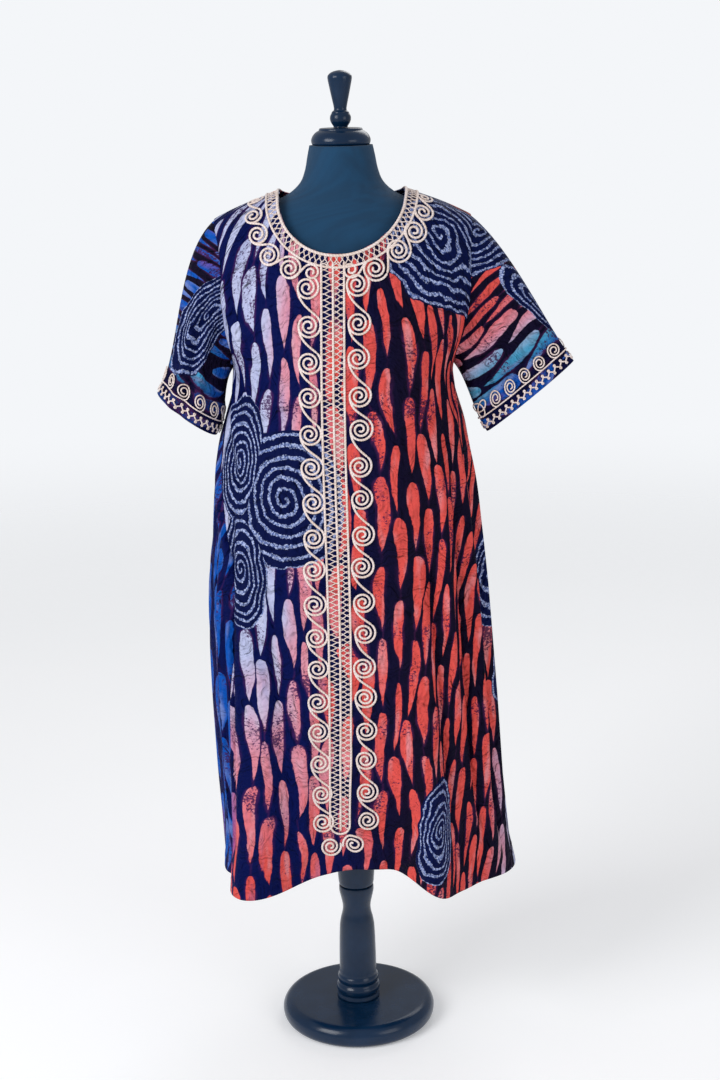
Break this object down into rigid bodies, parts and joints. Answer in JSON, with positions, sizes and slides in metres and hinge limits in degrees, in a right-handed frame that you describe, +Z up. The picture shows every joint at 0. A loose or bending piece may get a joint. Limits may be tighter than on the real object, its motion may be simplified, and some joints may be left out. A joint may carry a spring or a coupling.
{
  "type": "wax print dress on a limbless dress form",
  "caption": "Calf-length wax-print dress with short set-in sleeves and couched cord scrolls, worn by a limbless dress form on a turned post and round base.",
  "frame": {"origin": "middle of the stand base's flat underside", "axes": "+Z up; -Y is the side the dress faces; +X is the wearer's left"},
  "size_m": [0.6718, 0.3378, 1.621],
  "materials": {
    "print_cotton": "crisp wax-print cotton, slight sheen",
    "couched_cord": "twisted cream and pale gold cord",
    "form_jersey": "matt black jersey",
    "black_lacquer": "gloss black lacquer on turned wood"
  },
  "bodies": {
    "root": {"dress_front": "print_cotton", "dress_back": "print_cotton", "sleeve_left": "print_cotton", "sleeve_right": "print_cotton", "neck_band_front": "couched_cord", "neck_band_back": "couched_cord", "neck_scrolls_left": "couched_cord", "neck_scrolls_right": "couched_cord", "placket_band": "couched_cord", "placket_scrolls_left": "couched_cord", "placket_scrolls_right": "couched_cord", "cuff_trim_left": "couched_cord", "cuff_trim_right": "couched_cord", "form_torso": "form_jersey", "neck_cap": "black_lacquer", "neck_finial": "black_lacquer", "stand_post_upper": "black_lacquer", "stand_post_lower": "black_lacquer", "stand_base": "black_lacquer"}
  },
  "joints": []
}
